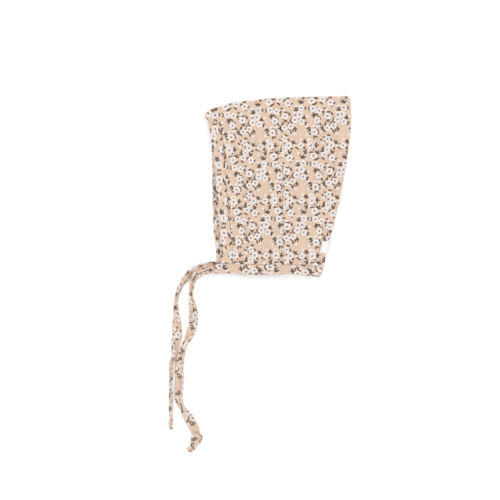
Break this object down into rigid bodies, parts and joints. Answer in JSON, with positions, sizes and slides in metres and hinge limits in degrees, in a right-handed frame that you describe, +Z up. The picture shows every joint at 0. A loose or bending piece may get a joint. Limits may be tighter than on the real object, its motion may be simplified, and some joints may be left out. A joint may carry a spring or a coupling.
{
  "type": "pixie bonnet",
  "caption": "Baby's pixie bonnet of ribbed cotton with a small floral print, a pointed back, a bound neck and long ties, lying flat on its side.",
  "frame": {"origin": "on the surface that the bonnet lies on, under the middle of the bonnet's box without its ties", "axes": "+X from the face opening towards the back seam, +Y from the neck towards the folded top, +Z up from the surface that it lies on"},
  "size_m": [0.201, 0.3925, 0.0174],
  "materials": {
    "crown_cotton": "matt ribbed cotton with a small floral print",
    "face_band_cotton": "matt ribbed cotton, doubled and stitched",
    "neck_band_cotton": "matt cotton binding, cut across the ribs",
    "tie_cotton": "matt cotton binding, folded into a flat tie",
    "label_tape": "smooth plain woven tape"
  },
  "bodies": {
    "root": {"crown": "crown_cotton", "face_band": "face_band_cotton", "neck_band": "neck_band_cotton", "near_tie": "tie_cotton", "far_tie": "tie_cotton", "tie_knot": "tie_cotton", "label": "label_tape"}
  },
  "joints": []
}
